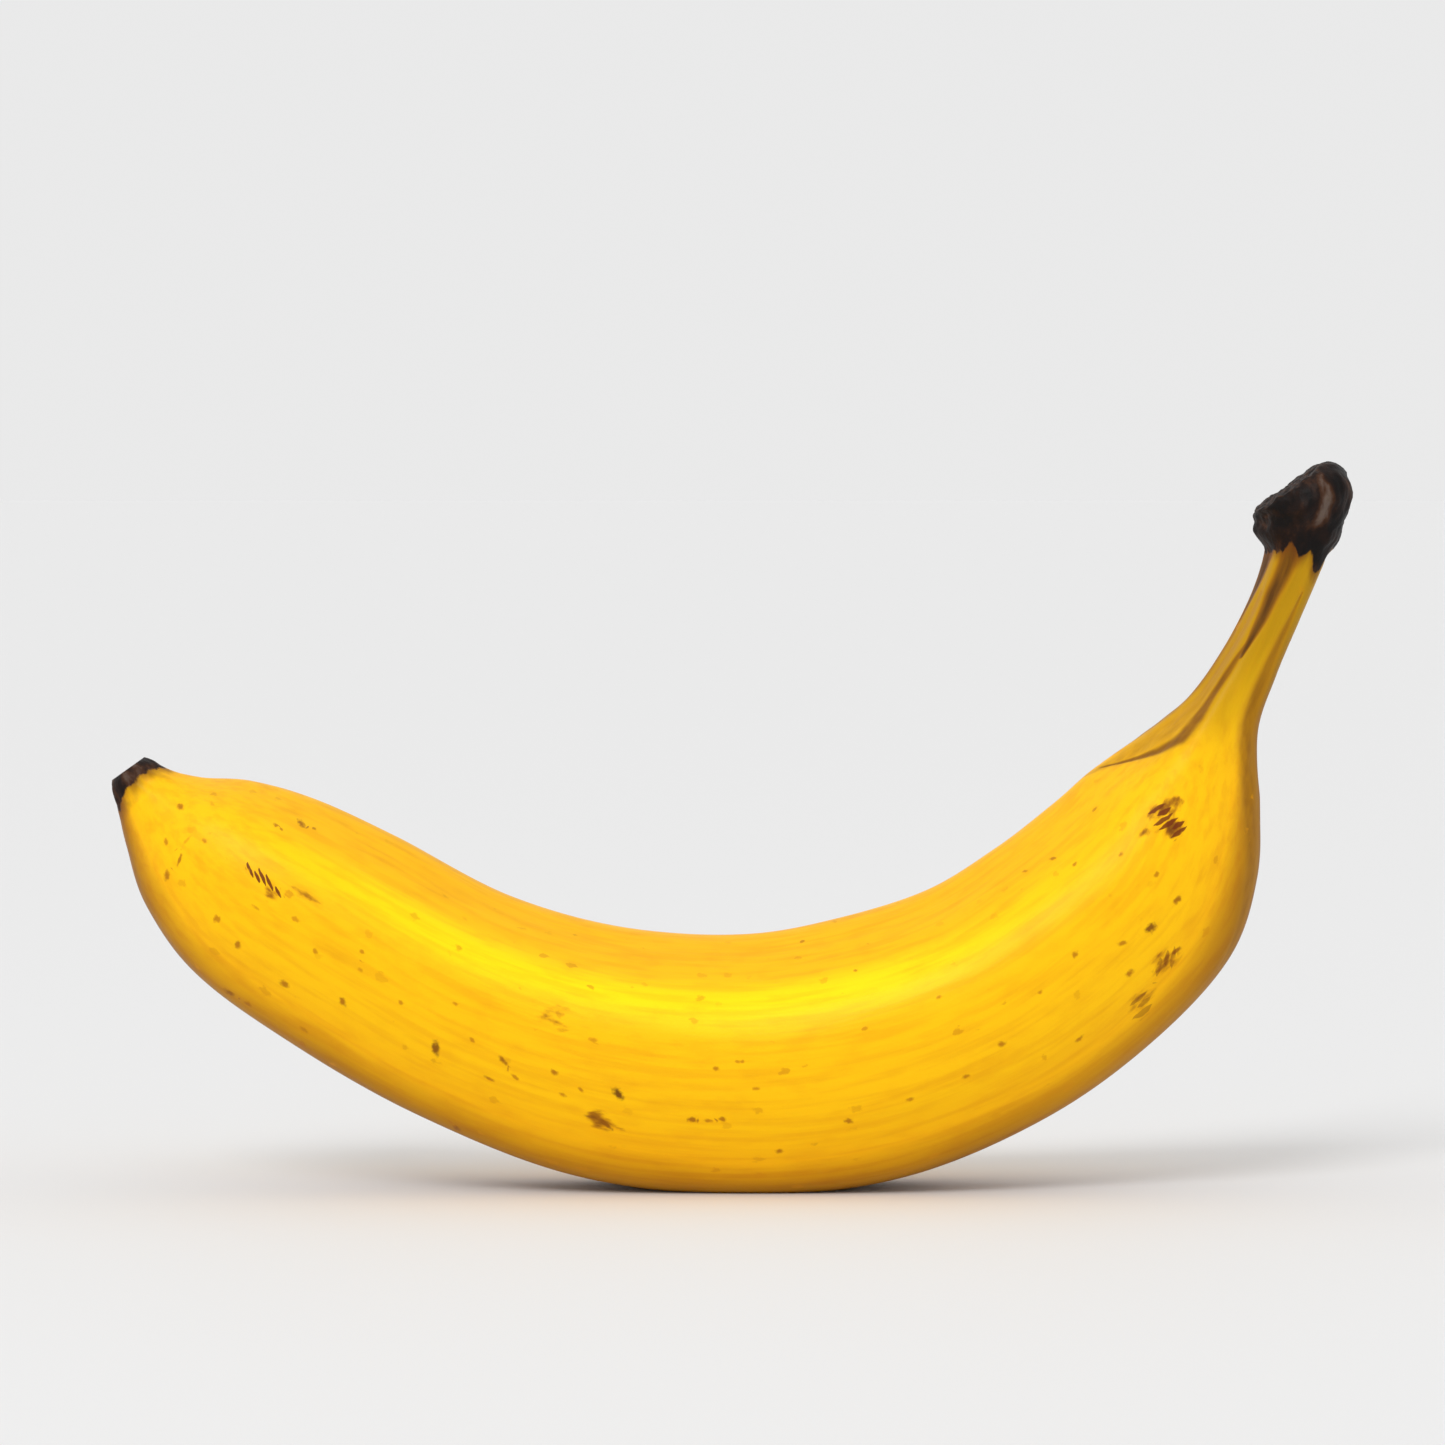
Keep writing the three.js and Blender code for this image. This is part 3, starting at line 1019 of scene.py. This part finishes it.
def scratch_share(nodes):
    """1 on a row's short scratches, pointed at their ends and each of its own length, and 0 elsewhere."""
    count, reach, darkness = nodes.vector_field("scratch")
    wandering = nodes.plus(count, nodes.ragged("scratches"))
    whole = nodes.math("FLOOR", wandering)
    drawn = nodes.add("ShaderNodeTexWhiteNoise", {"W": whole}, noise_dimensions="1D").outputs["Value"]
    shifted = nodes.plus(reach, nodes.centred(drawn, SCRATCH_SHIFT))
    share = nodes.math("DIVIDE", shifted, nodes.between(drawn, *SCRATCH_LENGTHS))
    taper = nodes.minus(1.0, nodes.times(share, share))
    across = nodes.math("ABSOLUTE", nodes.minus(nodes.math("FRACT", wandering), 0.5))
    line = nodes.minus(nodes.times(taper, SCRATCH_HALF_WIDTH), across)
    return nodes.times(nodes.step(line, *SCRATCH_EDGE), darkness)


def with_scratches(nodes, base):
    return nodes.mix(nodes.times(scratch_share(nodes), SCRATCH_STRENGTH), base, SCRATCH_BROWN)


def dry_share(nodes):
    """1 on the dry ends, 0 on the fresh peel, with a finely ragged edge."""
    return nodes.step(nodes.plus(nodes.field("dry"), nodes.ragged("dry edge")), *DRY_EDGE)


def with_stains(nodes, base):
    """A brown stain where each dry end starts."""
    ragged = nodes.times(nodes.noise("stain's edge"), STAIN_RAGGED)
    stain = nodes.step(nodes.plus(nodes.field("dry"), ragged), *STAIN_EDGE)
    return nodes.mix(nodes.times(stain, STAIN_STRENGTH), base, STAIN_BROWN)


def with_husk(nodes, base):
    """Near black to brown ends, greyer on bruises and the crown's painted highlight, a little paler at the
    blossom end.
    """
    along = nodes.vector_field("straight")[0]
    near_tip = nodes.times(nodes.step(along, *PALER_TIP), TIP_PALENESS)
    paler = nodes.plus(near_tip, nodes.times(nodes.field("bruise"), BRUISE_AND_HIGHLIGHT_PALENESS))
    husk = nodes.ramp(nodes.plus(nodes.noise("husk"), paler), HUSK_RAMP)
    return nodes.mix(dry_share(nodes), base, husk)


def with_cut(nodes, base):
    """The torn face of the crown, browner than its sides and finely speckled."""
    return nodes.mix(nodes.field("cut"), base, nodes.ramp(nodes.noise("cut"), CUT_RAMP))


def peel_roughness(nodes):
    """Waxy peel, duller on its bruises and uneven on the dry ends."""
    waxy = nodes.between(nodes.noise("wax"), *WAX_ROUGHNESS)
    dull = nodes.times(nodes.field("bruise"), BRUISE_DULLNESS)
    dry = nodes.times(dry_share(nodes), nodes.noise("dry roughness"))
    return nodes.plus(nodes.plus(waxy, dull), nodes.times(dry, DRY_DULLNESS))


def peel_normal(nodes):
    """Long fine fibres and shallow pores, with sunken spots and a wrinkled husk on the ends."""
    fibres = nodes.times(nodes.noise("fibres"), FIBRE_HEIGHT)
    pores = nodes.times(nodes.noise("pores"), PORE_HEIGHT)
    spots = nodes.times(spot_share(nodes), SPOT_DEPTH)
    scratches = nodes.times(scratch_share(nodes), SCRATCH_DEPTH)
    husk = nodes.times(dry_share(nodes), nodes.times(nodes.noise("husk's wrinkles"), WRINKLE_HEIGHT))
    height = nodes.minus(nodes.minus(nodes.plus(fibres, pores), spots), scratches)
    height = nodes.plus(height, husk)
    inputs = {"Height": height, "Strength": RELIEF_STRENGTH, "Distance": RELIEF_DISTANCE * UNIT}
    return nodes.add("ShaderNodeBump", inputs).outputs["Normal"]


def peel_material():
    material = bpy.data.materials.new("ripe_peel")
    nodes = Nodes(material)
    layers = (
        with_streaks, with_stalk, with_crease_shade, with_flecks, with_bruises, with_spots, with_scratches,
        with_stains, with_husk, with_cut,
    )
    tint = body_colour(nodes)
    for layer in layers:
        tint = layer(nodes, tint)
    surface = {
        "Base Color": tint,
        "Roughness": peel_roughness(nodes),
        "Normal": peel_normal(nodes),
        "Specular IOR Level": 0.14,
        "Subsurface Weight": 0.05,
        "Subsurface Radius": (1.0, 0.45, 0.05),
        "Subsurface Scale": GLOW_DEPTH * UNIT,
    }
    for name, value in surface.items():
        nodes.put(nodes.shader.inputs[name], value)
    return material


# ---- Floor, light and camera ----

def plain_material(name, tint, roughness):
    material = bpy.data.materials.new(name)
    nodes = Nodes(material)
    nodes.put(nodes.shader.inputs["Base Color"], tint)
    nodes.put(nodes.shader.inputs["Roughness"], roughness)
    return material


def add_floor():
    half = FLOOR_HALF
    mesh = bpy.data.meshes.new("floor")
    corners = [(-half, -half, 0), (half, -half, 0), (half, half, 0), (-half, half, 0)]
    mesh.from_pydata(corners, [], [(0, 1, 2, 3)])
    mesh.materials.append(plain_material("pale_floor", FLOOR_GREY, FLOOR_ROUGHNESS))
    floor = bpy.data.objects.new("floor", mesh)
    bpy.context.collection.objects.link(floor)


def aimed(data, place, target):
    """An object for a light or camera, which looks from a place at a target."""
    made = bpy.data.objects.new(data.name, data)
    made.location = place
    made.rotation_euler = (target - place).to_track_quat("-Z", "Y").to_euler()
    bpy.context.collection.objects.link(made)
    return made


def add_lights(target):
    """A broad soft main light, a lamp for the sheen on the ridges, and a pale room all round."""
    main = bpy.data.lights.new("main_light", "SUN")
    main.energy = SUN_STRENGTH
    main.angle = math.radians(SUN_SIZE)
    aimed(main, target + SUN_PLACE, target)
    sheen = bpy.data.lights.new("sheen_light", "AREA")
    sheen.shape = "DISK"
    sheen.size = SHEEN_SIZE
    sheen.energy = SHEEN_POWER
    aimed(sheen, target + SHEEN_PLACE, target)
    world = bpy.data.worlds.new("pale_room")
    world.use_nodes = True
    background = world.node_tree.nodes["Background"]
    background.inputs["Color"].default_value = WHITE
    background.inputs["Strength"].default_value = ROOM_STRENGTH
    bpy.context.scene.world = world


def add_camera(low, high):
    """Side on to the fruit, a little above it, through a long lens."""
    width, height = high.x - low.x, high.z - low.z
    target = Vector(((low.x + high.x) / 2 + TARGET_SIDE * width, 0, TARGET_HEIGHT * height))
    elevation = math.radians(CAMERA_ELEVATION)
    lens = bpy.data.cameras.new("camera")
    lens.lens = lens.sensor_width * CAMERA_DISTANCE / (width / FRUIT_SHARE)
    back = Vector((0, -math.cos(elevation), math.sin(elevation)))
    bpy.context.scene.camera = aimed(lens, target + CAMERA_DISTANCE * back, target)


add_camera(LOW, HIGH)
banana = make_banana()
banana.data.materials.append(peel_material())
bpy.context.collection.objects.link(banana)
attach(banana, "root")
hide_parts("banana")

add_floor()
add_lights((LOW + HIGH) / 2)
bpy.context.scene.view_settings.view_transform = "Standard"
